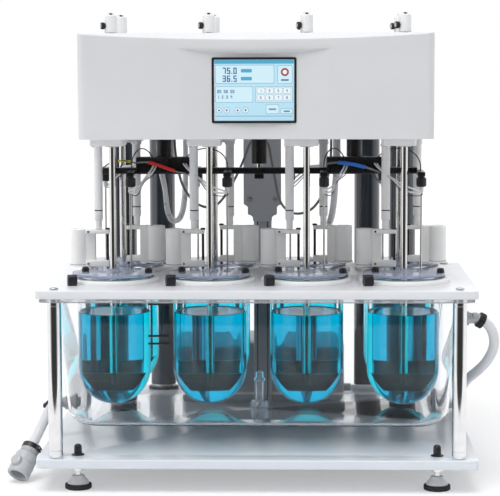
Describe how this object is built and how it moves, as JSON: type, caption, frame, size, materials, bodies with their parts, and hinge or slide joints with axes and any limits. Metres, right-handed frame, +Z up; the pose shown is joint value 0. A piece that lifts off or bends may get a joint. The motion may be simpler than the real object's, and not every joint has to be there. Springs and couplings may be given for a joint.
{
  "type": "dissolution testing system",
  "caption": "Bench dissolution tester: round-bottom glass vessels in a clear water bath under a lifting drive head with stirring paddles, dosing lids and a sampling manifold.",
  "frame": {"origin": "centre of the base plate's outline, on the bench plane under the feet", "axes": "+X to the instrument's right as seen from its front, +Y to its back, +Z up"},
  "size_m": [0.702, 0.59, 0.6715],
  "materials": {
    "white_coated": "satin",
    "head_paint": "satin",
    "polished_steel": "polished",
    "slate_paint": "satin",
    "grey_paint": "satin",
    "black_plastic": "satin",
    "black_rubber": "matte",
    "vessel_glass": "clear",
    "clear_plastic": "clear",
    "lid_plastic": "gloss",
    "white_plastic": "satin",
    "grey_plastic": "satin",
    "screen_glass": "gloss",
    "hose_vinyl": "clear",
    "cable_grey": "satin",
    "motor_black": "satin"
  },
  "bodies": {
    "stand": {"base_plate": "white_coated", "levelling_foot_1": "black_rubber", "levelling_foot_2": "black_rubber", "levelling_foot_3": "black_rubber", "levelling_foot_4": "black_rubber", "vessel_plate": "white_coated", "water_tank": "clear_plastic", "vessel_1": "vessel_glass", "vessel_2": "vessel_glass", "vessel_3": "vessel_glass", "vessel_4": "vessel_glass", "vessel_5": "vessel_glass", "vessel_6": "vessel_glass", "vessel_7": "vessel_glass", "vessel_8": "vessel_glass", "circulation_jet": "clear_plastic", "drain_fitting": "grey_plastic", "filler_fitting": "grey_plastic", "drain_hose": "hose_vinyl", "filler_hose": "hose_vinyl", "quick_coupling": "grey_plastic", "circulator_case": "grey_paint", "mains_inlet": "black_plastic"},
    "drive_head": {"head_frame": "slate_paint", "head_cover": "head_paint", "head_rear_cover": "head_paint", "screen_bezel": "black_plastic", "touch_screen": "screen_glass", "drive_motor": "motor_black", "drive_belt": "black_rubber", "dosing_lid_1": "lid_plastic", "dosing_lid_2": "lid_plastic", "dosing_lid_3": "lid_plastic", "dosing_lid_4": "lid_plastic", "dosing_lid_5": "lid_plastic", "dosing_lid_6": "lid_plastic", "dosing_lid_7": "lid_plastic", "dosing_lid_8": "lid_plastic", "sample_bundle_left": "clear_plastic", "sample_bundle_right": "clear_plastic", "signal_cable": "cable_grey"},
    "manifold": {"sampling_manifold": "white_plastic"},
    "stirrer_1": {"spindle_1": "polished_steel", "paddle_1": "polished_steel"},
    "stirrer_2": {"spindle_2": "polished_steel", "paddle_2": "polished_steel"},
    "stirrer_3": {"spindle_3": "polished_steel", "paddle_3": "polished_steel"},
    "stirrer_4": {"spindle_4": "polished_steel", "paddle_4": "polished_steel"},
    "stirrer_5": {"spindle_5": "polished_steel", "paddle_5": "polished_steel"},
    "stirrer_6": {"spindle_6": "polished_steel", "paddle_6": "polished_steel"},
    "stirrer_7": {"spindle_7": "polished_steel", "paddle_7": "polished_steel"},
    "stirrer_8": {"spindle_8": "polished_steel", "paddle_8": "polished_steel"},
    "latch": {"coupling_latch": "grey_plastic"},
    "switch": {"power_switch": "black_plastic"}
  },
  "joints": [
    {"name": "head_lift", "type": "slide", "parent": "stand", "child": "drive_head", "axis": [0, 0, 1], "range_m": [0, 0.23]},
    {"name": "manifold_travel", "type": "slide", "parent": "drive_head", "child": "manifold", "axis": [0, 0, 1], "range_m": [-0.07, 0]},
    {"name": "stirrer_1_turn", "type": "hinge", "parent": "drive_head", "child": "stirrer_1", "pos_m": [-0.21, -0.172, 0.546], "axis": [0, 0, 1], "continuous": true},
    {"name": "stirrer_2_turn", "type": "hinge", "parent": "drive_head", "child": "stirrer_2", "pos_m": [-0.07, -0.172, 0.546], "axis": [0, 0, 1], "continuous": true},
    {"name": "stirrer_3_turn", "type": "hinge", "parent": "drive_head", "child": "stirrer_3", "pos_m": [0.07, -0.172, 0.546], "axis": [0, 0, 1], "continuous": true},
    {"name": "stirrer_4_turn", "type": "hinge", "parent": "drive_head", "child": "stirrer_4", "pos_m": [0.21, -0.172, 0.546], "axis": [0, 0, 1], "continuous": true},
    {"name": "stirrer_5_turn", "type": "hinge", "parent": "drive_head", "child": "stirrer_5", "pos_m": [-0.21, -0.022, 0.546], "axis": [0, 0, 1], "continuous": true},
    {"name": "stirrer_6_turn", "type": "hinge", "parent": "drive_head", "child": "stirrer_6", "pos_m": [-0.07, -0.022, 0.546], "axis": [0, 0, 1], "continuous": true},
    {"name": "stirrer_7_turn", "type": "hinge", "parent": "drive_head", "child": "stirrer_7", "pos_m": [0.07, -0.022, 0.546], "axis": [0, 0, 1], "continuous": true},
    {"name": "stirrer_8_turn", "type": "hinge", "parent": "drive_head", "child": "stirrer_8", "pos_m": [0.21, -0.022, 0.546], "axis": [0, 0, 1], "continuous": true},
    {"name": "latch_press", "type": "slide", "parent": "stand", "child": "latch", "axis": [-0.311, -0.6239, 0.7169], "range_m": [-0.0015, 0], "stiffness_N_per_m": 800},
    {"name": "switch_rock", "type": "hinge", "parent": "stand", "child": "switch", "pos_m": [0.045, 0.262, 0.1203], "axis": [1, 0, 0], "range_deg": [0, 12]}
  ],
  "couplings": [
    {"joint": "stirrer_2_turn", "follows": "stirrer_1_turn", "ratio": 1},
    {"joint": "stirrer_3_turn", "follows": "stirrer_1_turn", "ratio": 1},
    {"joint": "stirrer_4_turn", "follows": "stirrer_1_turn", "ratio": 1},
    {"joint": "stirrer_5_turn", "follows": "stirrer_1_turn", "ratio": 1},
    {"joint": "stirrer_6_turn", "follows": "stirrer_1_turn", "ratio": 1},
    {"joint": "stirrer_7_turn", "follows": "stirrer_1_turn", "ratio": 1},
    {"joint": "stirrer_8_turn", "follows": "stirrer_1_turn", "ratio": 1}
  ]
}
